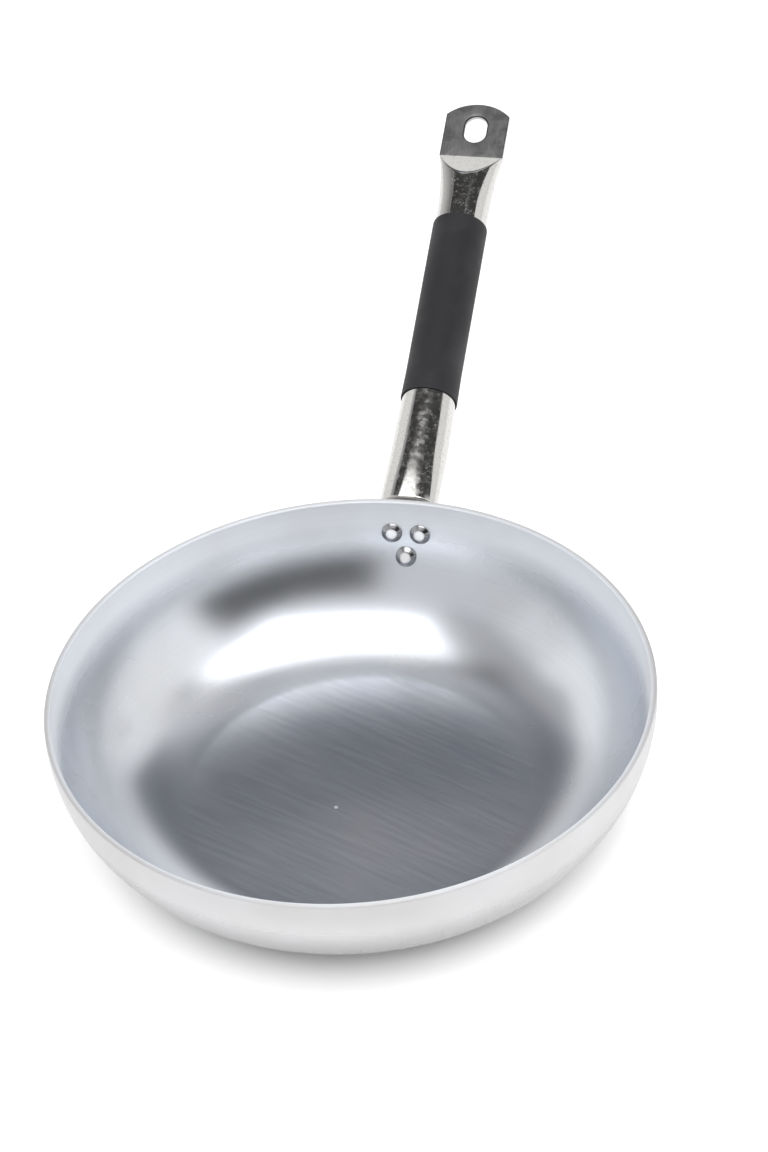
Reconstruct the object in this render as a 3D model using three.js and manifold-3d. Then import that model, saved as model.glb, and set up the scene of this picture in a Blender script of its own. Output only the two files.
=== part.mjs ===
import * as THREE from 'three';
import Module from 'manifold-3d';
import { mergeVertices } from 'three/addons/utils/BufferGeometryUtils.js';

const { clamp, degToRad, lerp, mapLinear, smoothstep } = THREE.MathUtils;

// Deep frying pan. Millimetres, +Z up.
// The origin is the middle of the flat base on the table, and the handle runs out along +Y.

// Bowl: spun sheet with a flat base, a quarter-ellipse wall and a plain cut rim
const rimRadius = 140;
const panHeight = 64;
const sheet = 3;
const baseRadius = 79;
const rimBand = 1.5;
const rimEdge = 0.5;
const wallSteps = 12;
const turnSteps = 72;

// Handle tube: distances run along its axis from a point just outside the wall
const axisStart = new THREE.Vector2(143, 52);
const handleRise = degToRad(18);
const tubeRadius = 12.7;
const tubeWall = 1.3;
const sideSteps = 15;
const halfWidths = [[7, 13.85], [28, 13.85], [39, 13.7], [46, 13.55], [53, 13.35], [60, 13.15], [80, 12.7],
  [177, 12.7], [187.2, 13.1], [193.3, 13.6], [199.5, 14.3], [206.9, 15.8]];

// Hang tab: the far end of the tube pressed flat, a little above the tube's axis
const flareStart = 177;
const underStart = 184;
const flatStart = 192.2;
const creaseAt = 206.9;
const tipAt = 238.8;
const tabRaise = 4.2;
const tabThickness = 3;
const tabSlit = 0.4;
const tabEndRadius = 22.2;
const tabEndStart = 225.4;
const hangHoleAt = 223.5;
const hangHoleWidth = 11;
const hangHoleLength = 15.6;

// Root: the underside is pressed up into the top, then both layers bend down on to the wall
const facetApex = 31.5;
const facetDepth = 0.45;
const pressStart = 58;
const pressEnd = 12;
const bendStart = 2.5;
const bendRise = 9;
const pressedThickness = 3;
const archInset = 2.7;
const boreEnd = 24.5;

// Tongue: the pressed end lying on the outside of the wall, heights above the table
const seatGap = 0.3;
const tongueTop = 58;
const tongueHalfWidths = [[27.5, 2.2], [28, 3.9], [29, 5.8], [31, 7.8], [34, 9.2], [38, 10.6], [42, 12.6],
  [46, 14.2], [50, 14.6], [58, 14.3]];
const tongueSquareness = 0.3;
const bendSteps = 3;

// Places of the sections that the tube, its bore and the tongue are drawn through, far end first
const tubePlaces = [tipAt, tabEndStart, creaseAt, 204, 201, 198, 195, flatStart, 188, underStart, flareStart,
  80, 60, 53, 46, 41, 36, facetApex, 28, 24, 20, 16, pressEnd, 7, bendStart];
const borePlaces = [244, tabEndStart, creaseAt, 204, 201, 198, 195, flatStart, 188, underStart, flareStart,
  80, 60, 53, 46, 41, 36, 31, boreEnd];
const tongueHeights = [tongueTop, 54, 50, 46, 42, 38, 34, 31, 29, 28, 27.5];

// Grip sleeve
const sleeveStart = 64.4;
const sleeveEnd = 167.5;
const sleeveBorePlaces = [172, 80, 60];
const sleevePlaces = [sleeveEnd, 80, sleeveStart];
const sleeveGap = 0.2;
const sleeveWall = 0.55;

// Rivets: two above and one below
const rivetSpread = 6.8;
const upperRivetHeight = 47.3;
const lowerRivetHeight = 36.1;
const rivetHoleRadius = 2.7;
const rivetHoleReach = 24;
const rivetSides = 20;
const headSeat = 0.7;
const headRadius = 5;
const headFlatRadius = 2.8;
const headEdge = 0.3;
const headTop = 2.4;
const shankRadius = 2.4;
const domeSeat = -6.65;
const domeHeight = 2.4;
const domeShape = [[0, 1], [0.4, 0.92], [0.72, 0.68], [0.92, 0.36], [1, 0]];

const mergeDistance = 1e-4;
const wallHeight = panHeight - rimBand;
const wallReach = rimRadius - baseRadius;
const quarterTurn = Math.PI / 2;
const topDrop = tubeRadius - tabRaise - tabThickness / 2;
const underRise = tubeRadius + tabRaise - tabThickness / 2;

const wasm = await Module();
wasm.setup();

// Solids and meshes

function solidOf(geometry) {
  geometry.deleteAttribute('normal');
  geometry.deleteAttribute('uv');
  const merged = mergeVertices(geometry, mergeDistance);
  const index = merged.index.array;
  const corners = [];
  for (let i = 0; i < index.length; i += 3) {
    const [a, b, c] = index.slice(i, i + 3);
    if (a !== b && b !== c && c !== a) {
      corners.push(a, b, c);
    }
  }
  return new wasm.Manifold(new wasm.Mesh({
    numProp: 3,
    vertProperties: Float32Array.from(merged.attributes.position.array),
    triVerts: Uint32Array.from(corners),
  }));
}

function meshOf(name, solid, material) {
  const body = solid.getMesh();
  const geometry = new THREE.BufferGeometry();
  geometry.setAttribute('position', new THREE.BufferAttribute(Float32Array.from(body.vertProperties), 3));
  geometry.setIndex(new THREE.BufferAttribute(Uint32Array.from(body.triVerts), 1));
  geometry.computeVertexNormals();
  const mesh = new THREE.Mesh(geometry, material);
  mesh.name = name;
  return mesh;
}

function turned(profile, steps) {
  const geometry = new THREE.LatheGeometry(profile, steps);
  geometry.rotateX(quarterTurn);
  return geometry;
}

// Value read off a list of [place, value] pairs, straight between neighbours
function readOff(pairs, place) {
  const next = pairs.findIndex(([at]) => at >= place);
  if (next === 0) {
    return pairs[0][1];
  }
  if (next < 0) {
    return pairs[pairs.length - 1][1];
  }
  const [fromPlace, fromValue] = pairs[next - 1];
  const [toPlace, toValue] = pairs[next];
  return mapLinear(place, fromPlace, toPlace, fromValue, toValue);
}

// Bowl

// Radius and height of the wall at a turn from the base, at a depth inside the outer face
function wallPoint(turn, depth) {
  return new THREE.Vector2(
    baseRadius + (wallReach - depth) * Math.sin(turn),
    wallHeight - (wallHeight - depth) * Math.cos(turn),
  );
}

function wallTurn(height, depth) {
  return Math.acos((wallHeight - height) / (wallHeight - depth));
}

function wallOutward(turn, depth) {
  const across = (wallHeight - depth) * Math.sin(turn);
  const down = -(wallReach - depth) * Math.cos(turn);
  return new THREE.Vector2(across, down).normalize();
}

function bowlSolid() {
  const profile = [new THREE.Vector2(0, 0)];
  for (let step = 0; step <= wallSteps; step += 1) {
    profile.push(wallPoint((step / wallSteps) * quarterTurn, 0));
  }
  profile.push(new THREE.Vector2(rimRadius, panHeight - rimEdge));
  profile.push(new THREE.Vector2(rimRadius - rimEdge, panHeight));
  profile.push(new THREE.Vector2(rimRadius - sheet + rimEdge, panHeight));
  profile.push(new THREE.Vector2(rimRadius - sheet, panHeight - rimEdge));
  for (let step = wallSteps; step >= 0; step -= 1) {
    profile.push(wallPoint((step / wallSteps) * quarterTurn, sheet));
  }
  profile.push(new THREE.Vector2(0, sheet));
  return solidOf(turned(profile, turnSteps));
}

// Handle sections

const outward = new THREE.Vector2(Math.cos(handleRise), Math.sin(handleRise));
const upward = new THREE.Vector2(-Math.sin(handleRise), Math.cos(handleRise));

function crownPoint(along) {
  return axisStart.clone().addScaledVector(outward, along).addScaledVector(upward, tubeRadius);
}

// Each section hangs from the crown line: rise is crown to widest line, belly is widest line to underside
function straightSection(along) {
  const facet = facetDepth * Math.max(0, 1 - along / facetApex);
  const dropped = topDrop * clamp((along - flatStart) / (creaseAt - flatStart), 0, 1);
  const lifted = underRise * clamp((along - underStart) / (creaseAt - underStart), 0, 1);
  const rootRise = lerp(bendRise, tubeRadius, smoothstep(along, bendStart, facetApex));
  const rise = rootRise - tabRaise * smoothstep(along, flareStart, creaseAt);
  const open = smoothstep(along, pressEnd, pressStart);
  const belly = lerp(pressedThickness - rise, 2 * tubeRadius - rise, open);
  return {
    crown: crownPoint(along),
    up: upward,
    halfWidth: readOff(halfWidths, along),
    rise,
    belly,
    roof: -Math.max(facet, dropped),
    floor: lifted - 2 * tubeRadius,
    inset: archInset * Math.max(0, -belly) / bendRise,
    squareness: 1,
    endShare: clamp((along - tabEndStart) / (tipAt - tabEndStart), 0, 1),
    wrapRadius: 0,
    open,
  };
}

function tabEndSag(across) {
  return tabEndRadius - Math.sqrt(tabEndRadius ** 2 - across ** 2);
}

function sectionPoint(section, across, level) {
  const spot = section.crown.clone().addScaledVector(section.up, level);
  if (section.endShare > 0) {
    spot.addScaledVector(outward, -section.endShare * tabEndSag(across));
  }
  if (section.wrapRadius > 0) {
    spot.x -= section.wrapRadius - Math.sqrt(section.wrapRadius ** 2 - across ** 2);
  }
  return new THREE.Vector3(across, spot.x, spot.y);
}

// Top line from +X to -X, then the bottom line back
function sectionRing(section) {
  const top = [];
  const bottom = [];
  for (let step = 0; step <= sideSteps; step += 1) {
    const angle = (step / sideSteps) * Math.PI;
    const lift = Math.abs(Math.sin(angle)) ** section.squareness;
    const topLevel = Math.min(section.roof, section.rise * (lift - 1));
    const bottomLevel = Math.max(section.floor, -section.rise - section.belly * lift);
    top.push(sectionPoint(section, section.halfWidth * Math.cos(angle), topLevel));
    bottom.push(sectionPoint(section, (section.halfWidth - section.inset) * Math.cos(angle), bottomLevel));
  }
  return top.concat(bottom.reverse());
}

// Skin over a row of rings of equal length, closed at both ends
function skin(rings) {
  const count = rings[0].length;
  const half = count / 2;
  const positions = rings.flat().flatMap((point) => point.toArray());
  const index = [];
  for (let ring = 0; ring + 1 < rings.length; ring += 1) {
    for (let place = 0; place < count; place += 1) {
      const next = (place + 1) % count;
      const here = ring * count;
      const there = here + count;
      index.push(here + place, here + next, there + next);
      index.push(here + place, there + next, there + place);
    }
  }
  const last = (rings.length - 1) * count;
  for (let place = 0; place + 1 < half; place += 1) {
    const below = count - 1 - place;
    index.push(place, below, below - 1);
    index.push(place, below - 1, place + 1);
    index.push(last + place, last + below - 1, last + below);
    index.push(last + place, last + place + 1, last + below - 1);
  }
  const geometry = new THREE.BufferGeometry();
  geometry.setAttribute('position', new THREE.Float32BufferAttribute(positions, 3));
  geometry.setIndex(index);
  return geometry;
}

// Handle tube

// A section of the tongue, a plate that follows the outside of the wall
function tongueSection(height) {
  const turn = wallTurn(height, -seatGap);
  const crown = wallPoint(turn, -seatGap);
  return {
    crown,
    up: wallOutward(turn, -seatGap).negate(),
    halfWidth: readOff(tongueHalfWidths, height),
    rise: pressedThickness / 2,
    belly: pressedThickness / 2,
    roof: 0,
    floor: -2 * tubeRadius,
    inset: 0,
    squareness: tongueSquareness,
    endShare: 0,
    wrapRadius: crown.x,
  };
}

// Rings between the end of the tube and the top of the tongue, where the pressed end turns down
function bendRings(from, to) {
  const rings = [];
  for (let step = 1; step < bendSteps; step += 1) {
    const share = step / bendSteps;
    rings.push(from.map((point, place) => point.clone().lerp(to[place], share)));
  }
  return rings;
}

// Thickness of the tube's wall measured square to the axis, more where the wall slants to the tab
function slantedWall(along, start, height) {
  const run = creaseAt - start;
  return along > start ? tubeWall * Math.hypot(run, height) / run : tubeWall;
}

// The bore of the tube, one wall thickness inside the outer section and a thin slit through the tab
function boreSection(along) {
  const section = straightSection(along);
  const raised = tubeWall * (1 - section.open);
  const lid = slantedWall(along, flatStart, topDrop);
  const tray = slantedWall(along, underStart, underRise);
  section.crown.addScaledVector(upward, -tubeWall);
  section.halfWidth -= tubeWall;
  section.rise -= tubeWall + raised;
  section.belly -= tubeWall - raised;
  section.roof = Math.max(section.roof - lid + tubeWall, tabSlit / 2 - section.rise);
  section.floor = Math.min(section.floor + tray + tubeWall, -tabSlit / 2 - section.rise);
  section.inset = 0;
  section.endShare = 0;
  return section;
}

function hangHoleSolid() {
  const radius = hangHoleWidth / 2;
  const straight = hangHoleLength / 2 - radius;
  const outline = new THREE.Shape();
  outline.absarc(0, straight, radius, 0, Math.PI, false);
  outline.absarc(0, -straight, radius, Math.PI, 2 * Math.PI, false);
  const depth = 4 * tabThickness;
  const settings = { depth, bevelEnabled: false, curveSegments: sideSteps };
  const cutter = new THREE.ExtrudeGeometry(outline, settings);
  cutter.translate(0, 0, -depth / 2);
  cutter.rotateX(handleRise);
  const centre = axisStart.clone().addScaledVector(outward, hangHoleAt).addScaledVector(upward, tabRaise);
  cutter.translate(0, centre.x, centre.y);
  return solidOf(cutter);
}

function handleSolid() {
  const tube = tubePlaces.map((along) => sectionRing(straightSection(along)));
  const tongue = tongueHeights.map((height) => sectionRing(tongueSection(height)));
  const bend = bendRings(tube[tube.length - 1], tongue[0]);
  const outer = solidOf(skin([...tube, ...bend, ...tongue]));
  const bore = solidOf(skin(borePlaces.map((along) => sectionRing(boreSection(along)))));
  return outer.subtract(bore).subtract(hangHoleSolid());
}

// Grip sleeve

function sleeveRing(along, clearance) {
  const section = straightSection(along);
  section.crown.addScaledVector(upward, clearance);
  section.halfWidth += clearance;
  section.rise += clearance;
  section.belly += clearance;
  section.floor -= 2 * clearance;
  return sectionRing(section);
}

function sleeveSolid() {
  const outer = solidOf(skin(sleevePlaces.map((along) => sleeveRing(along, sleeveGap + sleeveWall))));
  const bore = solidOf(skin(sleeveBorePlaces.map((along) => sleeveRing(along, sleeveGap))));
  return outer.subtract(bore);
}

// Rivets

// Axis of a rivet: its place on the inside of the wall and the turn of its axis, which points inward
function rivetPlace(across, height) {
  const turn = wallTurn(height, sheet);
  const spot = wallPoint(turn, sheet);
  const swing = Math.asin(across / spot.x);
  const normal = wallOutward(turn, sheet).negate();
  const inward = new THREE.Vector3(normal.x * Math.sin(swing), normal.x * Math.cos(swing), normal.y);
  return new THREE.Matrix4().compose(
    new THREE.Vector3(across, spot.x * Math.cos(swing), spot.y),
    new THREE.Quaternion().setFromUnitVectors(new THREE.Vector3(0, 0, 1), inward),
    new THREE.Vector3(1, 1, 1),
  );
}

function rivetHole(place) {
  const cutter = new THREE.CylinderGeometry(rivetHoleRadius, rivetHoleRadius, rivetHoleReach, rivetSides);
  cutter.rotateX(quarterTurn);
  cutter.applyMatrix4(place);
  return solidOf(cutter);
}

function rivetSolid(place) {
  const domePoint = ([out, down]) => new THREE.Vector2(out * headRadius, domeSeat - down * domeHeight);
  const dome = domeShape.map(domePoint);
  const profile = [
    ...dome,
    new THREE.Vector2(shankRadius, domeSeat),
    new THREE.Vector2(shankRadius, headSeat),
    new THREE.Vector2(headRadius, headSeat),
    new THREE.Vector2(headRadius, headSeat + headEdge),
    new THREE.Vector2(headFlatRadius, headTop),
    new THREE.Vector2(0, headTop),
  ];
  const geometry = turned(profile, rivetSides);
  geometry.applyMatrix4(place);
  return solidOf(geometry);
}

// Assembly

const spunAluminium = new THREE.MeshStandardMaterial({ color: 0xb9bcc2, roughness: 0.38, metalness: 1 });
const polishedSteel = new THREE.MeshStandardMaterial({ color: 0xc4c3c0, roughness: 0.18, metalness: 1 });
const blackRubber = new THREE.MeshStandardMaterial({ color: 0x2a2b2d, roughness: 0.75, metalness: 0 });
const rivetAluminium = new THREE.MeshStandardMaterial({ color: 0xc6c8cc, roughness: 0.3, metalness: 1 });

const places = {
  rivet_left: rivetPlace(-rivetSpread, upperRivetHeight),
  rivet_right: rivetPlace(rivetSpread, upperRivetHeight),
  rivet_bottom: rivetPlace(0, lowerRivetHeight),
};
let bowl = bowlSolid();
let handle = handleSolid();
for (const place of Object.values(places)) {
  const hole = rivetHole(place);
  bowl = bowl.subtract(hole);
  handle = handle.subtract(hole);
}

const pan = new THREE.Group();
pan.name = 'deep_frying_pan';
pan.add(meshOf('pan_shell', bowl, spunAluminium));
pan.add(meshOf('handle_tube', handle, polishedSteel));
pan.add(meshOf('grip_sleeve', sleeveSolid(), blackRubber));
for (const [name, place] of Object.entries(places)) {
  pan.add(meshOf(name, rivetSolid(place), rivetAluminium));
}

export default pan;
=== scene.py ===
import math

import bmesh
import bpy
import numpy as np
from mathutils import Matrix, Vector


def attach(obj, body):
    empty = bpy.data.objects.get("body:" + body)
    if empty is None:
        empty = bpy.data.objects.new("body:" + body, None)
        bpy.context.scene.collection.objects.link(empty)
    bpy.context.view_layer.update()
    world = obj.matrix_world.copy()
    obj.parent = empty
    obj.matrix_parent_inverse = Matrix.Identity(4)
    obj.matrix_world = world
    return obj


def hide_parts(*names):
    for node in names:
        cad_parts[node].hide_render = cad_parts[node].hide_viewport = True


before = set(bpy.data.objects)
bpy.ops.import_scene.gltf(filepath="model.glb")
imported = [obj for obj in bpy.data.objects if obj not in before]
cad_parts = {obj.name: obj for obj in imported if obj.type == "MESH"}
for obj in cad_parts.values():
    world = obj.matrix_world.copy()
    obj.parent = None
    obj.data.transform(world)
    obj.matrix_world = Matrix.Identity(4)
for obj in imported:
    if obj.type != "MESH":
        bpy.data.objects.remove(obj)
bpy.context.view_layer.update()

mm = 0.001

# Sizes in millimetres. The main ones are those of the part's solids. Rounded edges, the dome of the floor and
# the place of the facet's apex are the looks' own.

# Bowl: a quarter-ellipse wall between the flat base and a short upright band at the rim
rim_radius, pan_height, sheet, base_radius, rim_band = 140.0, 64.0, 3.0, 79.0, 1.5
wall_height, wall_reach = pan_height - rim_band, rim_radius - base_radius
flat_radius, rim_rounding = 76.0, 0.7
dome_rise, dome_reach = 1.4, 85.0

# Handle: places are measured along the tube's axis, which starts beside the rim
axis_start = np.array([143.0, 52.0])
handle_rise = math.radians(18.0)
outward = np.array([math.cos(handle_rise), math.sin(handle_rise)])
upward = np.array([-math.sin(handle_rise), math.cos(handle_rise)])
tube_radius = 12.7
width_places = [7, 28, 39, 46, 53, 60, 80, 177, 187.2, 193.3, 199.5, 206.9]
half_widths = [13.85, 13.85, 13.7, 13.55, 13.35, 13.15, 12.7, 12.7, 13.1, 13.6, 14.3, 15.8]
flare_start, under_start, flat_start, crease_at, tip_at = 177.0, 184.0, 192.2, 206.9, 238.8
exact_width_from = 202.5
facet_apex, facet_depth, facet_zone = 37.0, 0.45, 60.0
facet_blend, crease_blend = 0.12, 0.5
root_end, press_start, press_end, bend_start, bend_rise = 62.0, 58.0, 12.0, 2.5, 9.0
pressed_thickness, arch_inset = 3.0, 2.7

# Hang tab
tab_raise, tab_thickness, tab_half_width, tab_end_radius = 4.2, 3.0, 15.8, 22.2
tab_buried_from, tab_buried_half_width = 204.4, 15.2
hang_hole_at, hang_hole_width, hang_hole_length = 223.5, 11.0, 15.6

# Tongue on the outside of the wall: places are heights above the base
seat_gap, tongue_top, tongue_narrows_at, tongue_squareness = 0.3, 58.0, 31.0, 0.3
tongue_heights = [27.5, 28, 29, 31, 34, 38, 42, 46, 50, 58]
tongue_half_widths = [2.2, 3.9, 5.8, 7.8, 9.2, 10.6, 12.6, 14.2, 14.6, 14.3]
exact_width_below = 29.0

# Sleeve and rivets
sleeve_start, sleeve_end, sleeve_gap, sleeve_wall = 64.4, 167.5, 0.2, 0.55
rivet_spread, upper_rivet_height, lower_rivet_height = 6.8, 47.3, 36.1

# Points round the bowl, half a handle ring, the sleeve and a rivet, and the rows of a rivet's dome
bowl_steps, half_ring_steps, sleeve_steps, rivet_steps, rivet_dome_rows = 288, 101, 192, 96, 14


# Surfaces

def quad_grid(rows, columns, close_rows=False, close_columns=False):
    """Corner numbers of the quads between neighbours on a grid of points, wrapped where closed."""
    row = np.arange(rows if close_rows else rows - 1)
    column = np.arange(columns if close_columns else columns - 1)
    row, column = np.meshgrid(row, column, indexing="ij")
    next_row, next_column = (row + 1) % rows, (column + 1) % columns
    corners = [row * columns + column, row * columns + next_column,
               next_row * columns + next_column, next_row * columns + column]
    return np.stack(corners, axis=-1).reshape(-1, 4)


def facing_out(points, quads):
    """The quads turned so that the volume they enclose, summed over their triangles, is positive."""
    a, b, c, d = (points[quads[:, corner]] for corner in range(4))
    volume = np.einsum("ij,ij->", a, np.cross(b, c)) + np.einsum("ij,ij->", a, np.cross(c, d))
    return quads if volume > 0 else quads[:, ::-1]


def make_piece(name, surfaces, material, node, mask=None):
    """One piece from closed surfaces of (points in mm, quads), welded where points meet, with a mask on
    its points."""
    weld_distance = 2e-7
    points = [surface[0].reshape(-1, 3) for surface in surfaces]
    starts = np.cumsum([0] + [len(part) for part in points[:-1]])
    quads = [facing_out(part, surface[1]) + start for part, surface, start in zip(points, surfaces, starts)]
    mesh = bpy.data.meshes.new(name)
    mesh.from_pydata((np.concatenate(points) * mm).tolist(), [], np.concatenate(quads).tolist())
    if mask is not None:
        mesh.attributes.new("mask", "FLOAT", "POINT").data.foreach_set("value", mask.ravel())
    weld = bmesh.new()
    weld.from_mesh(mesh)
    bmesh.ops.remove_doubles(weld, verts=weld.verts, dist=weld_distance)
    weld.to_mesh(mesh)
    weld.free()
    mesh.polygons.foreach_set("use_smooth", np.ones(len(mesh.polygons), dtype=bool))
    mesh.materials.append(material)
    piece = bpy.data.objects.new(name, mesh)
    bpy.context.scene.collection.objects.link(piece)
    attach(piece, "root")
    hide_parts(node)


def soft_min(a, b, blend):
    """The lower of two values, with the corner between them rounded over a short blend."""
    share = np.clip(0.5 + 0.5 * (b - a) / blend, 0, 1)
    return b + (a - b) * share - blend * share * (1 - share)


def smooth_step(value, low, high):
    """0 below low, 1 above high, and a smooth S between."""
    share = np.clip((value - low) / (high - low), 0, 1)
    return share * share * (3 - 2 * share)


def places_between(stops, counts):
    """Places from stop to stop, with a count of evenly spaced places for each stretch."""
    stretches = [np.linspace(start, end, count)[1:] for start, end, count in zip(stops, stops[1:], counts)]
    return np.concatenate([stops[:1], *stretches])


def averaged(at, places, values, reach, count):
    """Values joined by straight lines between their places, then averaged over a reach to both sides."""
    window = np.linspace(-reach, reach, count)
    return np.interp(np.asarray(at)[..., None] + window, places, values).mean(axis=-1)


def turned(profile, steps):
    """A profile of (radius, height) rows carried once round the Z axis."""
    turn = np.linspace(0, 2 * np.pi, steps, endpoint=False)
    radius, height = profile[:, :1], profile[:, 1:]
    points = np.stack(np.broadcast_arrays(radius * np.cos(turn), radius * np.sin(turn), height), axis=-1)
    return points, quad_grid(len(profile), steps, close_columns=True)


def wall_line(turn, depth):
    """(radius, height) on the quarter ellipse of the wall, at a depth inside the outer face."""
    return np.stack([base_radius + (wall_reach - depth) * np.sin(turn),
                     wall_height - (wall_height - depth) * np.cos(turn)], axis=-1)


def wall_turn(height, depth):
    """The ellipse's turn at a height: the inverse of wall_line."""
    return np.arccos((wall_height - np.asarray(height)) / (wall_height - depth))


def wall_outward(turn, depth):
    """Unit (radius, height) normal of the wall, pointing out of the bowl."""
    normal = np.stack([(wall_height - depth) * np.sin(turn), -(wall_reach - depth) * np.cos(turn)], axis=-1)
    return normal / np.linalg.norm(normal, axis=-1, keepdims=True)


def bowl_surface():
    """Flat base, quarter-ellipse wall, rim with its two edges rounded by small arcs, and back down to a
    slightly domed floor."""
    wall_rows, flat_rows, arc_rows = 72, 24, 7
    turn = np.linspace(0, np.pi / 2, wall_rows)
    flat = np.linspace(0, flat_radius, flat_rows)[:, None]
    arc = np.linspace(0, np.pi / 2, arc_rows)
    outer_edge = np.stack([rim_radius - rim_rounding + rim_rounding * np.cos(arc),
                           pan_height - rim_rounding + rim_rounding * np.sin(arc)], -1)
    inner_edge = np.stack([rim_radius - sheet + rim_rounding - rim_rounding * np.sin(arc),
                           pan_height - rim_rounding + rim_rounding * np.cos(arc)], -1)
    profile = np.concatenate([
        np.hstack([flat, np.zeros_like(flat)]), wall_line(turn, 0.0), outer_edge,
        inner_edge, wall_line(turn[::-1], sheet), np.hstack([flat[::-1], np.full_like(flat, sheet)])])
    inside = np.arange(len(profile)) >= len(profile) // 2
    profile[inside, 1] += dome_rise * (1 - smooth_step(profile[inside, 0], 0, dome_reach))
    return turned(profile, bowl_steps)


def outside_mask(points):
    """1 on the outer half of the bowl's turned rows and 0 on the inner half."""
    return np.repeat([1.0, 0.0], points.reshape(-1, 3).shape[0] // 2)


def tube_half_width(along):
    """Half the tube's width along its axis: the measured widths, averaged over 8 mm."""
    return averaged(along, width_places, half_widths, reach=4, count=17)


def straight_sections():
    """Sections along the straight tube. The underside is pressed up at the root, and two slanting planes
    press the far end."""
    along = places_between([crease_at, flat_start, flare_start, root_end, bend_start], [64, 16, 30, 80])
    dropped = (tube_radius - tab_raise - tab_thickness / 2) * (along - flat_start) / (crease_at - flat_start)
    lifted = (tube_radius + tab_raise - tab_thickness / 2) * (along - under_start) / (crease_at - under_start)
    to_apex = 1 - along / facet_apex
    facet = facet_depth * to_apex * np.abs(to_apex)
    rise = bend_rise + (tube_radius - bend_rise) * smooth_step(along, bend_start, facet_apex)
    rise = rise - tab_raise * smooth_step(along, flare_start, crease_at)
    opened = smooth_step(along, press_end, press_start)
    belly = (pressed_thickness - rise) * (1 - opened) + (2 * tube_radius - rise) * opened
    half_width = np.where(along > exact_width_from, np.interp(along, width_places, half_widths),
                          tube_half_width(along))
    crown = axis_start + along[:, None] * outward + tube_radius * upward
    return dict(crown=crown, up=np.broadcast_to(upward, crown.shape), half_width=half_width, rise=rise,
                belly=belly, roof=-np.maximum(facet, dropped), floor=lifted - 2 * tube_radius,
                square=np.ones_like(along), wrap=np.zeros_like(along),
                blend=np.where(along < facet_zone, facet_blend, crease_blend))


def tongue_sections():
    """Sections of the tongue, a plate that follows the outside of the wall down to a rounded end."""
    height = places_between([tongue_top, tongue_narrows_at, tongue_heights[0]], [40, 16])
    turn = wall_turn(height, -seat_gap)
    width = np.where(height < exact_width_below, np.interp(height, tongue_heights, tongue_half_widths),
                     averaged(height, tongue_heights, tongue_half_widths, reach=1, count=9))
    half = np.full_like(height, pressed_thickness / 2)
    return dict(crown=wall_line(turn, -seat_gap), up=-wall_outward(turn, -seat_gap), half_width=width,
                rise=half, belly=half, roof=np.zeros_like(height),
                floor=np.full_like(height, -2 * tube_radius), square=np.full_like(height, tongue_squareness),
                wrap=np.ones_like(height), blend=np.full_like(height, crease_blend))


def section_rings(sections):
    """Rings through the sections. A ring is a top line, half an ellipse cut off by the roof, and a bottom
    line, likewise cut off by the floor. The tongue's flatter top isn't cut."""
    angle = np.linspace(0, np.pi, half_ring_steps)
    column = {key: values[:, None] for key, values in sections.items() if values.ndim == 1}
    lift = np.abs(np.sin(angle)) ** column["square"]
    arch = column["rise"] * (lift - 1)
    inset = arch_inset * np.maximum(0, -column["belly"]) / bend_rise
    top = np.where(column["square"] < 1, arch, soft_min(column["roof"], arch, column["blend"]))
    bottom = -soft_min(-column["floor"], column["rise"] + column["belly"] * lift, crease_blend)
    across = np.concatenate([column["half_width"] * np.cos(angle),
                             ((column["half_width"] - inset) * np.cos(angle))[:, ::-1]], axis=1)
    level = np.concatenate([top, bottom[:, ::-1]], axis=1)
    spot = sections["crown"][:, None, :] + level[..., None] * sections["up"][:, None, :]
    radius = sections["crown"][:, :1]
    sag = column["wrap"] * (radius - np.sqrt(radius ** 2 - across ** 2))
    return np.stack([across, spot[..., 0] - sag, spot[..., 1]], axis=-1)


def handle_surface():
    """The tube's rings, straight rings from its end to the top of the tongue, and the tongue's rings, closed
    at both ends."""
    bend_rows = 14
    tube, tongue = section_rings(straight_sections()), section_rings(tongue_sections())
    share = np.linspace(0, 1, bend_rows)[1:-1, None, None]
    points = np.concatenate([tube, tube[-1:] * (1 - share) + tongue[:1] * share, tongue])
    rows, count = points.shape[:2]
    sides = quad_grid(rows, count, close_columns=True)
    place = np.arange(count // 2 - 1)
    cap = np.stack([place, count - 1 - place, count - 2 - place, place + 1], axis=-1)
    return points, np.concatenate([sides, cap, cap[:, ::-1] + (rows - 1) * count])


def tab_outline():
    """(across, along) points round the tab: one side, the round end, the other side and the buried root."""
    end_rows, side_rows, buried_rows, root_rows = 48, 24, 5, 24
    end_middle = tip_at - tab_end_radius
    corner_at = end_middle + math.sqrt(tab_end_radius ** 2 - tab_half_width ** 2)
    swing = math.asin(tab_half_width / tab_end_radius)
    arc = np.linspace(swing, -swing, end_rows)
    end = np.stack([tab_end_radius * np.sin(arc), end_middle + tab_end_radius * np.cos(arc)], -1)
    plain = np.linspace(crease_at, corner_at, side_rows)[:-1]
    along = np.concatenate([np.linspace(tab_buried_from, crease_at, buried_rows)[:-1], plain])
    half = np.concatenate([np.linspace(tab_buried_half_width, tab_half_width, buried_rows)[:-1],
                           np.full_like(plain, tab_half_width)])
    across = np.linspace(-tab_buried_half_width, tab_buried_half_width, root_rows)[1:-1]
    root = np.stack([across, np.full_like(across, tab_buried_from)], -1)
    return np.concatenate([np.stack([half, along], -1), end, np.stack([-half, along], -1)[::-1], root])


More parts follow.
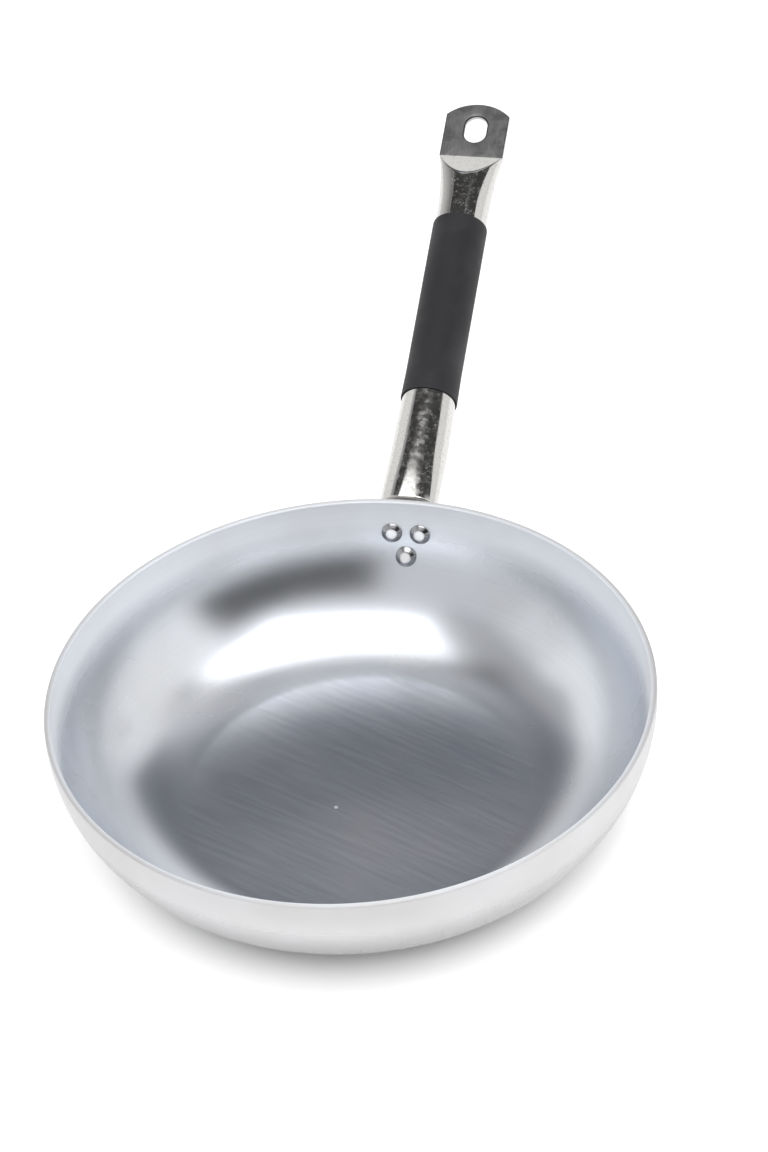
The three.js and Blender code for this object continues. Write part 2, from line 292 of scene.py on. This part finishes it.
def tab_surface():
    """The flat tab: an edge profile carried round the space between the outline and the oval hole, each edge
    split by a slit."""
    smallest_cosine = 1e-6
    middle = np.array([0.0, hang_hole_at])
    ray = tab_outline() - middle
    length = np.linalg.norm(ray, axis=1)
    cosine, sine = np.abs(ray[:, 0]) / length, np.abs(ray[:, 1]) / length
    radius, straight = hang_hole_width / 2, (hang_hole_length - hang_hole_width) / 2
    to_side = radius / np.maximum(cosine, smallest_cosine)
    to_end = straight * sine + np.sqrt(radius ** 2 - (straight * cosine) ** 2)
    hole = np.where(to_side * sine < straight, to_side, to_end)
    # Edge profiles of (distance from the edge, height above the tab's middle)
    slit = [(0.0, 0.34), (0.12, 0.22), (0.9, 0.2)]
    rim_edge = [(0.55, 1.5), (0.3, 1.46), (0.1, 1.34), (0.0, 1.1)] + slit
    hole_edge = [(0.85, 1.5), (0.5, 1.44), (0.2, 1.24), (0.04, 0.92), (0.0, 0.6)] + slit
    loop = rim_edge + [(inset, -height) for inset, height in rim_edge[::-1]]
    loop += [(inset, -height) for inset, height in hole_edge] + hole_edge[::-1]
    from_rim = np.arange(len(loop)) < 2 * len(rim_edge)
    inset, height = np.array(loop).T
    reach = np.where(from_rim, length[:, None] - inset, hole[:, None] + inset)
    flat = middle + ray[:, None, :] * (reach / length[:, None])[..., None]
    spot = axis_start + flat[..., 1:] * outward + (tab_raise + height)[None, :, None] * upward
    points = np.concatenate([flat[..., :1], spot], axis=-1)
    return points, quad_grid(len(ray), len(loop), close_rows=True, close_columns=True)


def sleeve_surface():
    """A thin tube round the handle: its lengthwise profile of (place, clearance) is carried round the tube's
    oval section."""
    outer_margin, bore_margin, outer_rows, bore_rows = 4.0, 0.4, 40, 24
    outside = sleeve_gap + sleeve_wall
    groove = outside - 0.05
    ends = [(0.0, 0.28), (0.0, 0.48), (0.12, 0.63), (0.35, 0.72), (0.7, outside)]
    lip = [(2.1, outside), (2.4, groove), (2.7, groove), (3.0, outside)]
    middle = np.linspace(sleeve_start + outer_margin, sleeve_end - outer_margin, outer_rows)
    bore = np.linspace(sleeve_end - bore_margin, sleeve_start + bore_margin, bore_rows)
    profile = [(sleeve_start + at, clear) for at, clear in ends + lip] + [(at, outside) for at in middle]
    profile += [(sleeve_end - at, clear) for at, clear in ends[::-1]] + [(at, sleeve_gap) for at in bore]
    place, clear = np.array(profile).T[..., None]
    turn = np.linspace(0, 2 * np.pi, sleeve_steps, endpoint=False)
    across = (tube_half_width(place[:, 0])[:, None] + clear) * np.cos(turn)
    level = (tube_radius + clear) * np.sin(turn)
    spot = axis_start + place[..., None] * outward + level[..., None] * upward
    points = np.concatenate([across[..., None], spot], axis=-1)
    return points, quad_grid(len(profile), sleeve_steps, close_rows=True, close_columns=True)


def rivet_surface(across, height):
    """A turned rivet, cone head inside and dome outside, with its axis square to the wall. Its profile is
    measured from the inner face."""
    dome_radius, dome_foot, dome_height = 5.0, -6.65, 2.4
    dome = np.linspace(0, np.pi / 2, rivet_dome_rows)
    outer = np.stack([dome_radius * np.sin(dome), dome_foot - dome_height * np.cos(dome)], -1)
    shank = [[4.9, -6.62], [2.4, -6.6], [2.4, 0.2], [4.5, 0.22]]
    cone = [[4.85, 0.3], [5.0, 0.5], [4.98, 0.68], [4.8, 0.92], [4.2, 1.36], [3.5, 1.86], [3.1, 2.15],
            [2.85, 2.28]]
    flat_top = [[2.5, 2.34], [1.6, 2.36], [0.8, 2.37], [0.0, 2.37]]
    points, quads = turned(np.concatenate([outer, shank, cone, flat_top]), rivet_steps)
    turn = wall_turn(height, sheet)
    radius, level = wall_line(turn, sheet)
    normal = -wall_outward(turn, sheet)
    swing = math.asin(across / radius)
    inward = np.array([normal[0] * math.sin(swing), normal[0] * math.cos(swing), normal[1]])
    side = np.cross([0, 0, 1.0], inward)
    side /= np.linalg.norm(side)
    turned_to = np.stack([side, np.cross(inward, side), inward])
    return points @ turned_to + np.array([across, radius * math.cos(swing), level]), quads


def rivet_cone_mask():
    """1 on the cone of the head, which is painted darker as shade, 0 on its flat top, which is painted
    bright, and on the rest, row by row of the turned profile.
    """
    shank_rows, cone_rows, top_rows, top_edge = 4, 8, 3, 0.35
    rows = np.concatenate([np.zeros(rivet_dome_rows + shank_rows), np.ones(cone_rows), [top_edge],
                           np.zeros(top_rows)])
    return np.repeat(rows, rivet_steps)


# Shader helpers

def add(tree, kind, inputs=None, **settings):
    """A node with its settings, and each input either linked from a socket or set to a value."""
    made = tree.nodes.new(kind)
    for key, value in settings.items():
        setattr(made, key, value)
    for key, value in (inputs or {}).items():
        if isinstance(value, bpy.types.NodeSocket):
            tree.links.new(value, made.inputs[key])
        else:
            made.inputs[key].default_value = value
    return made


def object_place(tree):
    """The place in Object coordinates."""
    return add(tree, "ShaderNodeTexCoord").outputs["Object"]


def math_node(tree, operation, first, second=0.0, third=0.0, clamp=False):
    """One Math node and its value."""
    made = add(tree, "ShaderNodeMath", {0: first, 1: second, 2: third}, operation=operation, use_clamp=clamp)
    return made.outputs[0]


def vector_node(tree, operation, first, second=(0, 0, 0)):
    """One Vector Math node and its outputs, Vector and Value."""
    return add(tree, "ShaderNodeVectorMath", {0: first, 1: second}, operation=operation).outputs


def map_value(tree, value, low, high, to_low=0.0, to_high=1.0, blend="LINEAR"):
    """A value carried from one range to another."""
    made = add(tree, "ShaderNodeMapRange", {"Value": value, "From Min": low, "From Max": high,
                                            "To Min": to_low, "To Max": to_high}, interpolation_type=blend)
    return made.outputs[0]


def smooth_map(tree, value, low, high, to_low=0.0, to_high=1.0):
    """A value carried from one range to another along a smooth S."""
    return map_value(tree, value, low, high, to_low, to_high, "SMOOTHSTEP")


def mix_value(tree, share, first, second):
    """Two values mixed by a share."""
    return add(tree, "ShaderNodeMix", {0: share, 2: first, 3: second}, data_type="FLOAT").outputs[0]


def mix_colour(tree, share, first, second):
    """Two colours mixed by a share."""
    return add(tree, "ShaderNodeMix", {0: share, 6: first, 7: second}, data_type="RGBA").outputs[2]


def noise(tree, place, scale, detail, roughness):
    """Noise at a place."""
    made = add(tree, "ShaderNodeTexNoise", {"Vector": place, "Scale": scale, "Detail": detail,
                                            "Roughness": roughness})
    return made.outputs["Fac"]


def new_group(name, inputs, outputs):
    """An empty shader group with named sockets, what it is given and what it puts out."""
    group = bpy.data.node_groups.new(name, "ShaderNodeTree")
    for label, kind in inputs:
        group.interface.new_socket(name=label, in_out="INPUT", socket_type=kind)
    for label, kind in outputs:
        group.interface.new_socket(name=label, in_out="OUTPUT", socket_type=kind)
    return group, group.nodes.new("NodeGroupInput").outputs, group.nodes.new("NodeGroupOutput").inputs


def place_group(tree, group, inputs):
    """The outputs of a shader group placed in a material with its own values."""
    return add(tree, "ShaderNodeGroup", inputs, node_tree=group).outputs


def drawn_lines_group():
    """Fine parallel lines: noise stretched along one direction, as drawing, rolling or brushing leaves it."""
    group, given, out = new_group(
        "drawn_lines",
        [("Place", "NodeSocketVector"), ("Turn", "NodeSocketVector"), ("Density", "NodeSocketVector")],
        [("Lines", "NodeSocketFloat")])
    facing = add(group, "ShaderNodeMapping", {"Vector": given["Place"], "Rotation": given["Turn"]})
    laid = vector_node(group, "MULTIPLY", facing.outputs[0], given["Density"])["Vector"]
    group.links.new(noise(group, laid, scale=1.0, detail=3.0, roughness=0.5), out["Lines"])
    return group


def handling_group():
    """Smudges and specks from handling: soft patches, and fine spots of their own."""
    group, given, out = new_group(
        "handling_marks",
        [("Place", "NodeSocketVector"), ("Patches", "NodeSocketFloat"), ("Specks", "NodeSocketFloat")],
        [("Smudge", "NodeSocketFloat"), ("Speck", "NodeSocketFloat")])
    patch_range, speck_range = (0.36, 0.7), (0.52, 0.72)
    patch = noise(group, given["Place"], given["Patches"], detail=3.0, roughness=0.55)
    speck = noise(group, given["Place"], given["Specks"], detail=2.0, roughness=0.7)
    group.links.new(map_value(group, patch, *patch_range, blend="SMOOTHERSTEP"), out["Smudge"])
    group.links.new(map_value(group, speck, *speck_range), out["Speck"])
    return group


drawn_lines = drawn_lines_group()
handling_marks = handling_group()


# Materials: places and sizes in metres

def new_material(name):
    """A material with a Principled shader ready to be linked."""
    material = bpy.data.materials.new(name)
    material.use_nodes = True
    return material, material.node_tree, material.node_tree.nodes["Principled BSDF"]


def bowl_material():
    """Satin aluminium: rolling lines on the flat base, spinning lines round the wall, faint stains and one
    small bright spot on the base, lighter and less metallic. The upper wall is duller than the rest."""
    bright, lined, outer_face = (0.875, 0.905, 0.95, 1), (0.67, 0.705, 0.76, 1), (0.80, 0.795, 0.80, 1)
    stained, spot_colour = (0.62, 0.56, 0.5, 1), (0.95, 0.95, 0.95, 1)
    base_lines, wall_lines, outer_share, stain_share = 0.45, 0.1, 0.85, 0.16
    base_rough, wall_rough, top_rough, stain_rough = 0.23, 0.25, 0.3, 0.03
    inner_metal, outer_metal, rim_metal, spot_metal = 0.3, 0.5, 0.3, -0.8
    wall_anisotropy, quarter_turn, line_range = 0.65, 0.25, (0.36, 0.64)
    rolling_turn, rolling_density, spinning_density = math.radians(25), (26, 430, 10), (700, 1, 700)
    spot_at, spot_reach = (-0.0086, -0.0122, 0.0043), (0.0003, 0.0016)
    ragged_reach, spot_share = 0.0006, 0.5
    # Radii between which the wall begins, and heights between which it turns dull, rough and into the rim
    wall_zone = (0.078, 0.091)
    dull_zone, rough_zone, rim_zone = (0.038, 0.056), (0.042, 0.06), (0.0626, 0.0634)

    material, tree, shader = new_material("spun_aluminium")
    place = object_place(tree)
    height = add(tree, "ShaderNodeSeparateXYZ", {0: place}).outputs[2]
    radius = vector_node(tree, "LENGTH", vector_node(tree, "MULTIPLY", place, (1, 1, 0))["Vector"])["Value"]
    ring = add(tree, "ShaderNodeCombineXYZ", {0: radius, 2: height}).outputs[0]
    on_wall = smooth_map(tree, radius, *wall_zone)
    outside = add(tree, "ShaderNodeAttribute", attribute_name="mask").outputs["Fac"]
    marks = place_group(tree, handling_marks, {"Place": place, "Patches": 16.0, "Specks": 900.0})

    rolled = place_group(tree, drawn_lines, {"Place": place, "Turn": (0, 0, rolling_turn),
                                             "Density": rolling_density})["Lines"]
    spun = place_group(tree, drawn_lines, {"Place": ring, "Density": spinning_density})["Lines"]
    lines = mix_value(tree, on_wall, rolled, spun)
    shade = math_node(tree, "MULTIPLY", map_value(tree, lines, *line_range),
                      map_value(tree, on_wall, 0.0, 1.0, base_lines, wall_lines))
    colour = mix_colour(tree, shade, bright, lined)
    colour = mix_colour(tree, math_node(tree, "MULTIPLY", outside, outer_share), colour, outer_face)
    colour = mix_colour(tree, math_node(tree, "MULTIPLY", marks["Smudge"], stain_share), colour, stained)
    # A small bright spot on the base with a ragged edge: lighter colour and less metal
    from_spot = vector_node(tree, "DISTANCE", place, spot_at)["Value"]
    ragged = math_node(tree, "MULTIPLY_ADD", marks["Speck"], ragged_reach, from_spot)
    bright_spot = smooth_map(tree, ragged, *spot_reach, spot_share, 0.0)
    tree.links.new(mix_colour(tree, bright_spot, colour, spot_colour), shader.inputs["Base Color"])

    rough = math_node(tree, "ADD", smooth_map(tree, height, *rough_zone, 0.0, top_rough),
                      map_value(tree, on_wall, 0.0, 1.0, base_rough, wall_rough))
    rough = math_node(tree, "MULTIPLY_ADD", marks["Smudge"], stain_rough, rough)
    tree.links.new(rough, shader.inputs["Roughness"])
    tree.links.new(map_value(tree, on_wall, 0.0, 1.0, 0.0, wall_anisotropy), shader.inputs["Anisotropic"])
    shader.inputs["Anisotropic Rotation"].default_value = quarter_turn
    around_axis = add(tree, "ShaderNodeTangent", direction_type="RADIAL", axis="Z")
    tree.links.new(around_axis.outputs[0], shader.inputs["Tangent"])

    dull = map_value(tree, outside, 0.0, 1.0, inner_metal, outer_metal)
    metal = smooth_map(tree, height, *dull_zone, 1.0, dull)
    on_rim = smooth_map(tree, height, *rim_zone, 0.0, rim_metal)
    metal = math_node(tree, "ADD", metal, on_rim, clamp=True)
    metal = math_node(tree, "MULTIPLY_ADD", bright_spot, spot_metal, metal, clamp=True)
    tree.links.new(metal, shader.inputs["Metallic"])
    return material


def handle_material():
    """Polished steel tube with smudges and specks, brushed lengthwise and grimy on the pressed tab. Painted
    shade darkens the tab below its upper face, as dark lines along its rounded edges, and a painted highlight
    lightens its cut walls, round its outline and in its hole."""
    polished, specked = (0.72, 0.71, 0.69, 1), (0.33, 0.32, 0.3, 1)
    tab_bright, tab_lined, tab_grimy = (0.58, 0.57, 0.57, 1), (0.39, 0.39, 0.39, 1), (0.3, 0.3, 0.3, 1)
    # Painted shade for the tab's rounded edges and underside, and a painted highlight for its cut walls
    painted_edge_shade, painted_wall_highlight = (0.05, 0.05, 0.05, 1), (0.85, 0.85, 0.85, 1)
    speck_share, grime_share, edge_shade_share = 0.5, 0.85, 0.9
    clean_rough, smudge_rough, speck_metal, crease_soft = 0.1, 0.07, -0.45, 0.0003
    brushing_density, line_range, line_rough = (2200, 60, 60), (0.3, 0.7), (0.3, 0.42)
    # Depths below the tab's upper face
    edge_depths, wall_top, wall_foot = np.array([[0.00005, 0.000004], [0.0009, 0.0006], [0.0029, 0.0027]])

    material, tree, shader = new_material("polished_steel")
    place = object_place(tree)
    along = vector_node(tree, "DOT_PRODUCT", place, (0, *outward))["Value"]
    above = vector_node(tree, "DOT_PRODUCT", place, (0, *upward))["Value"]
    crease = (axis_start @ outward + crease_at) * mm
    face = (axis_start @ upward + tab_raise + tab_thickness / 2) * mm
    on_tab = smooth_map(tree, along, crease - crease_soft, crease + crease_soft)
    marks = place_group(tree, handling_marks, {"Place": place, "Patches": 320.0, "Specks": 1100.0})
    stains = place_group(tree, handling_marks, {"Place": place, "Patches": 190.0, "Specks": 1100.0})
    brushed = place_group(tree, drawn_lines, {"Place": place, "Turn": (-handle_rise, 0, 0),
                                              "Density": brushing_density})["Lines"]
    speck = math_node(tree, "MULTIPLY", marks["Speck"], marks["Smudge"])
    speck_part = math_node(tree, "MULTIPLY", speck, speck_share)

    # Painted shade below the tab's upper face, and a painted highlight on its cut walls
    edge_shade_mask = smooth_map(tree, above, *(face - edge_depths), edge_shade_share, 0.0)
    wall_highlight_mask = math_node(tree, "MULTIPLY", smooth_map(tree, above, *(face - wall_top), 1.0, 0.0),
                         smooth_map(tree, above, *(face - wall_foot)))
    tube_colour = mix_colour(tree, speck_part, polished, specked)
    tab_colour = mix_colour(tree, map_value(tree, brushed, *line_range), tab_bright, tab_lined)
    grime = math_node(tree, "MULTIPLY", stains["Smudge"], grime_share)
    tab_colour = mix_colour(tree, grime, tab_colour, tab_grimy)
    tab_colour = mix_colour(tree, edge_shade_mask, tab_colour, painted_edge_shade)
    tab_colour = mix_colour(tree, wall_highlight_mask, tab_colour, painted_wall_highlight)
    tree.links.new(mix_colour(tree, on_tab, tube_colour, tab_colour), shader.inputs["Base Color"])

    tube_rough = math_node(tree, "MULTIPLY_ADD", marks["Smudge"], smudge_rough, clean_rough)
    tab_rough = map_value(tree, brushed, *line_range, *line_rough)
    tree.links.new(mix_value(tree, on_tab, tube_rough, tab_rough), shader.inputs["Roughness"])
    relief = mix_value(tree, on_tab, speck_part, brushed)
    bump = add(tree, "ShaderNodeBump", {"Height": relief, "Strength": 0.1, "Distance": 0.0002})
    tree.links.new(bump.outputs[0], shader.inputs["Normal"])
    dusty = math_node(tree, "MULTIPLY", speck, math_node(tree, "SUBTRACT", 1.0, on_tab))
    tree.links.new(math_node(tree, "MULTIPLY_ADD", dusty, speck_metal, 1.0), shader.inputs["Metallic"])
    return material


def sleeve_material():
    """Matte black rubber with a fine moulded grain and slightly polished patches where the hand holds it."""
    black, handled = (0.02, 0.02, 0.022, 1), (0.028, 0.028, 0.031, 1)
    matte_rough, handled_rough, sheen = 0.62, -0.08, 0.36
    material, tree, shader = new_material("black_rubber")
    place = object_place(tree)
    marks = place_group(tree, handling_marks, {"Place": place, "Patches": 35.0, "Specks": 1600.0})
    tree.links.new(mix_colour(tree, marks["Smudge"], black, handled), shader.inputs["Base Color"])
    rough = math_node(tree, "MULTIPLY_ADD", marks["Smudge"], handled_rough, matte_rough)
    tree.links.new(rough, shader.inputs["Roughness"])
    bump = add(tree, "ShaderNodeBump", {"Height": marks["Speck"], "Strength": 0.15, "Distance": 0.0001})
    tree.links.new(bump.outputs[0], shader.inputs["Normal"])
    shader.inputs["Specular IOR Level"].default_value = sheen
    return material


def rivet_material():
    """Satin aluminium rivets: a flat top painted bright as a highlight, the cone round it painted darker as
    shade, and fine specks.
    """
    # Painted highlight on the flat top, which is also less metallic, and painted shade on the cone
    flat_top, painted_shade_cone, specked = (0.92, 0.92, 0.92, 1), (0.5, 0.5, 0.51, 1), (0.45, 0.44, 0.43, 1)
    speck_share, clean_rough, smudge_rough, top_metal = 0.3, 0.18, 0.06, 0.45
    material, tree, shader = new_material("rivet_aluminium")
    place = object_place(tree)
    cone = add(tree, "ShaderNodeAttribute", attribute_name="mask").outputs["Fac"]
    marks = place_group(tree, handling_marks, {"Place": place, "Patches": 300.0, "Specks": 1500.0})
    # Painted shade on the cone, painted highlight on the flat top
    colour = mix_colour(tree, cone, flat_top, painted_shade_cone)
    colour = mix_colour(tree, math_node(tree, "MULTIPLY", marks["Speck"], speck_share), colour, specked)
    tree.links.new(colour, shader.inputs["Base Color"])
    rough = math_node(tree, "MULTIPLY_ADD", marks["Smudge"], smudge_rough, clean_rough)
    tree.links.new(rough, shader.inputs["Roughness"])
    bump = add(tree, "ShaderNodeBump", {"Height": marks["Smudge"], "Strength": 0.04, "Distance": 0.0002})
    tree.links.new(bump.outputs[0], shader.inputs["Normal"])
    tree.links.new(map_value(tree, cone, 0.0, 1.0, top_metal, 1.0), shader.inputs["Metallic"])
    return material


# Pieces

steel = handle_material()
rivet_metal = rivet_material()
bowl = bowl_surface()
make_piece("bowl", [bowl], bowl_material(), "pan_shell", outside_mask(bowl[0]))
make_piece("tube_handle", [handle_surface(), tab_surface()], steel, "handle_tube")
make_piece("rubber_sleeve", [sleeve_surface()], sleeve_material(), "grip_sleeve")
for rivet_name, rivet_node, rivet_across, rivet_height in [
        ("left_rivet", "rivet_left", -rivet_spread, upper_rivet_height),
        ("right_rivet", "rivet_right", rivet_spread, upper_rivet_height),
        ("bottom_rivet", "rivet_bottom", 0.0, lower_rivet_height)]:
    make_piece(rivet_name, [rivet_surface(rivet_across, rivet_height)], rivet_metal, rivet_node,
               rivet_cone_mask())


# Floor, cards, light and camera: places and sizes in metres

def flat_sheet(name, corners, material_name):
    """A sheet with four corners, and the empty node tree of its material."""
    mesh = bpy.data.meshes.new(name)
    mesh.from_pydata(corners, [], [(0, 1, 2, 3)])
    material = bpy.data.materials.new(material_name)
    material.use_nodes = True
    material.node_tree.nodes.clear()
    mesh.materials.append(material)
    sheet_object = bpy.data.objects.new(name, mesh)
    bpy.context.scene.collection.objects.link(sheet_object)
    return sheet_object, material.node_tree


def studio_floor():
    """A wide pale floor. What the camera and the metal see of it glows a little, less close to the bowl: a
    painted contact shadow round the bowl, and a painted darker floor in the metal's reflection.
    """
    reach, paper_shade = 8.0, (0.68, 0.68, 0.68, 1)
    # Painted shadow: the glow is least 0.1 m from the bowl's axis and full at the shadow's outer edge, which
    # lies farther out in the metal's reflection
    painted_shadow_core, seen_shadow_edge, mirrored_shadow_edge = 0.1, 0.133, 0.2
    seen_glow, mirrored_glow = (0.01, 0.48), (0.06, 0.36)
    corners = [(-reach, -reach, 0), (reach, -reach, 0), (reach, reach, 0), (-reach, reach, 0)]
    floor, tree = flat_sheet("studio_floor", corners, "pale_floor")
    away = vector_node(tree, "LENGTH", object_place(tree))["Value"]
    rays = add(tree, "ShaderNodeLightPath").outputs
    seen = math_node(tree, "ADD", rays["Is Camera Ray"], rays["Is Transmission Ray"], clamp=True)
    seen = math_node(tree, "MULTIPLY", seen, smooth_map(tree, away, painted_shadow_core, seen_shadow_edge, *seen_glow))
    mirrored = math_node(tree, "MULTIPLY", rays["Is Glossy Ray"],
                         smooth_map(tree, away, painted_shadow_core, mirrored_shadow_edge, *mirrored_glow))
    strength = math_node(tree, "ADD", seen, mirrored)
    glow = add(tree, "ShaderNodeEmission", {"Color": (1, 1, 1, 1), "Strength": strength})
    paper = add(tree, "ShaderNodeBsdfDiffuse", {"Color": paper_shade})
    both = add(tree, "ShaderNodeAddShader", {0: glow.outputs[0], 1: paper.outputs[0]})
    add(tree, "ShaderNodeOutputMaterial", {"Surface": both.outputs[0]})


def card(name, corners, low_shade, high_shade, reach):
    """A flat card beside the handle, shaded from its foot to its top, which only metal within a reach of it
    mirrors."""
    made, tree = flat_sheet(name, corners, name)
    height = add(tree, "ShaderNodeSeparateXYZ", {0: object_place(tree)}).outputs[2]
    heights = [corner[2] for corner in corners]
    shade = map_value(tree, height, min(heights), max(heights), low_shade, high_shade)
    plain = add(tree, "ShaderNodeEmission", {"Color": (1, 1, 1, 1), "Strength": shade})
    clear = add(tree, "ShaderNodeBsdfTransparent")
    length = add(tree, "ShaderNodeLightPath").outputs["Ray Length"]
    far = math_node(tree, "GREATER_THAN", length, reach)
    mixed = add(tree, "ShaderNodeMixShader", {0: far, 1: plain.outputs[0], 2: clear.outputs[0]})
    add(tree, "ShaderNodeOutputMaterial", {"Surface": mixed.outputs[0]})
    made.visible_camera = made.visible_diffuse = made.visible_transmission = made.visible_shadow = False


def room_panel_group():
    """Mask of a soft-edged panel of the room, from its bearing and its heights above the horizon."""
    group, given, out = new_group(
        "room_panel",
        [("Direction", "NodeSocketVector"), ("Toward", "NodeSocketVector"), ("Edge", "NodeSocketFloat"),
         ("Soft", "NodeSocketFloat"), ("Low", "NodeSocketFloat"), ("High", "NodeSocketFloat")],
        [("Mask", "NodeSocketFloat")])
    soft_top = math.radians(4)
    level = vector_node(group, "MULTIPLY", given["Direction"], (1, 1, 0))["Vector"]
    level = vector_node(group, "NORMALIZE", level)["Vector"]
    facing = vector_node(group, "DOT_PRODUCT", level, given["Toward"])["Value"]
    climb = add(group, "ShaderNodeSeparateXYZ", {0: given["Direction"]}).outputs[2]
    height = math_node(group, "ARCSINE", climb)
    past_edge = math_node(group, "SUBTRACT", facing, given["Edge"])
    past_low = math_node(group, "SUBTRACT", height, given["Low"])
    under_high = math_node(group, "SUBTRACT", given["High"], height)
    softened = math_node(group, "DIVIDE", past_edge, given["Soft"])
    within = math_node(group, "MULTIPLY_ADD", softened, 0.5, 0.5, clamp=True)
    above = smooth_map(group, past_low, -soft_top, soft_top)
    below = smooth_map(group, under_high, -soft_top, soft_top)
    mask = math_node(group, "MULTIPLY", math_node(group, "MULTIPLY", within, above), below)
    group.links.new(mask, out["Mask"])
    return group


def studio_world():
    """Pale walls all round, with panels of other shades laid over them in turn. The camera sees white."""
    world = bpy.data.worlds.new("studio")
    bpy.context.scene.world = world
    world.use_nodes = True
    tree = world.node_tree
    tree.nodes.clear()
    direction = add(tree, "ShaderNodeTexCoord").outputs["Generated"]
    room_panel = room_panel_group()
    # Bearing from +Y toward +X and half width in degrees, softness of the sides, lowest and highest place
    # above the horizon in degrees, colour
    panels = [
        (76, 42, 0.05, -20, 120, (0.88, 0.88, 0.88, 1)),
        (18, 20, 0.06, -20, 29, (0.58, 0.58, 0.59, 1)),
        (-12, 20, 0.06, -20, 29, (0.90, 0.90, 0.90, 1)),
        (-71, 23, 0.05, -20, 40, (0.90, 0.90, 0.89, 1)),
        (-150, 32, 0.06, -20, 46, (0.58, 0.58, 0.59, 1)),
        (180, 80, 0.05, 45, 120, (0.55, 0.55, 0.56, 1)),
        (-105, 35, 0.05, 46, 120, (0.36, 0.36, 0.37, 1)),
        (0, 66, 0.05, 50, 120, (0.05, 0.05, 0.05, 1)),
        (145, 36, 0.05, 10, 45, (0.02, 0.02, 0.02, 1)),
        (-13, 42, 0.02, 30, 53, (0.102, 0.107, 0.124, 1)),
        (3, 40, 0.06, 49, 62, (0.48, 0.48, 0.50, 1)),
        (-62, 12, 0.02, 37, 120, (0.05, 0.045, 0.04, 1)),
        (-62, 14, 0.02, 34, 57, (0.38, 0.38, 0.39, 1)),
        (38, 13, 0.05, 48, 64, (0.75, 0.75, 0.76, 1)),
    ]
    pale_wall, white = (0.72, 0.72, 0.72, 1), (1, 1, 1, 1)
    colour = pale_wall
    for bearing, half, soft, low, high, shade in panels:
        turn = math.radians(bearing)
        panel = place_group(tree, room_panel, {
            "Direction": direction, "Toward": (math.sin(turn), math.cos(turn), 0), "Soft": soft,
            "Edge": math.cos(math.radians(half)), "Low": math.radians(low), "High": math.radians(high)})
        colour = mix_colour(tree, panel["Mask"], colour, shade)
    seen = add(tree, "ShaderNodeLightPath").outputs["Is Camera Ray"]
    colour = mix_colour(tree, seen, colour, white)
    shine = add(tree, "ShaderNodeBackground", {"Color": colour, "Strength": 1.0})
    add(tree, "ShaderNodeOutputWorld", {"Surface": shine.outputs[0]})


def lamp(name, place, aim, size, radiance, mirrored=True):
    """A rectangular soft light of a given brightness, with or without a mirror image in the metal."""
    data = bpy.data.lights.new(name, "AREA")
    data.shape = "RECTANGLE"
    data.size, data.size_y = size
    data.energy = radiance * math.pi * size[0] * size[1]
    made = bpy.data.objects.new(name, data)
    made.location = place
    made.rotation_euler = (Vector(aim) - Vector(place)).to_track_quat("-Z", "Y").to_euler()
    made.visible_camera = False
    made.visible_glossy = mirrored
    bpy.context.scene.collection.objects.link(made)


def photo_camera():
    """The camera fitted to the photograph, from its bearing, height and roll. Its focal length and the place
    of the rim's middle are in pixels of a frame of 768 by 1152, and its distance is in millimetres."""
    focal, frame_rows, film_height = 5400.0, 1152, 36.0
    bearing, height, roll = math.radians(14.005), math.radians(40.166), math.radians(-5.163)
    middle_x, middle_y, distance = -34.25, 118.41, 2459.5
    back = Vector((math.sin(bearing) * math.cos(height), -math.cos(bearing) * math.cos(height),
                   math.sin(height)))
    level = Vector((math.cos(bearing), math.sin(bearing), 0))
    rise = back.cross(level)
    right = math.cos(roll) * level + math.sin(roll) * rise
    up = -math.sin(roll) * level + math.cos(roll) * rise
    place = Vector((0, 0, pan_height)) - right * (middle_x * distance / focal)
    place += up * (middle_y * distance / focal)
    place += back * distance
    data = bpy.data.cameras.new("photo_camera")
    data.sensor_fit = "VERTICAL"
    data.sensor_height = film_height
    data.lens = film_height * focal / frame_rows
    data.clip_end = 50.0
    camera = bpy.data.objects.new("photo_camera", data)
    camera.matrix_world = Matrix.Translation(place * mm) @ Matrix((right, up, back)).transposed().to_4x4()
    bpy.context.scene.collection.objects.link(camera)
    bpy.context.scene.camera = camera


studio_floor()
card("right_dark_card", [(0.1, 0.19, 0.119), (0.1, 0.43, 0.197), (0.1, 0.43, 0.5), (0.1, 0.19, 0.42)],
     low_shade=0.05, high_shade=0.05, reach=0.32)
card("left_dark_card", [(-0.14, 0.2, 0.2), (-0.14, 0.45, 0.28), (-0.14, 0.45, 0.5), (-0.14, 0.2, 0.46)],
     low_shade=0.05, high_shade=0.05, reach=0.35)
card("grey_card", [(-0.15, 0.33, 0.1), (-0.15, 0.52, 0.1), (-0.15, 0.52, 0.27), (-0.15, 0.33, 0.25)],
     low_shade=0.75, high_shade=0.1, reach=0.28)
studio_world()
lamp("key_softbox", place=(0.075, 0.02, 1.0), aim=(0.075, 0.0201, 0.0), size=(0.81, 0.68), radiance=2.0)
for fill_name, fill_place, fill_radiance in [
        ("fill_front", (0.45, -1.35, 1.3), 1.6),
        ("fill_left", (-1.5, 0.0, 1.3), 1.9),
        ("fill_right", (1.5, 0.0, 1.3), 2.0)]:
    lamp(fill_name, fill_place, aim=(0.0, 0.0, 0.0), size=(2.2, 1.0), radiance=fill_radiance, mirrored=False)
photo_camera()
bpy.context.scene.view_settings.view_transform = "Standard"
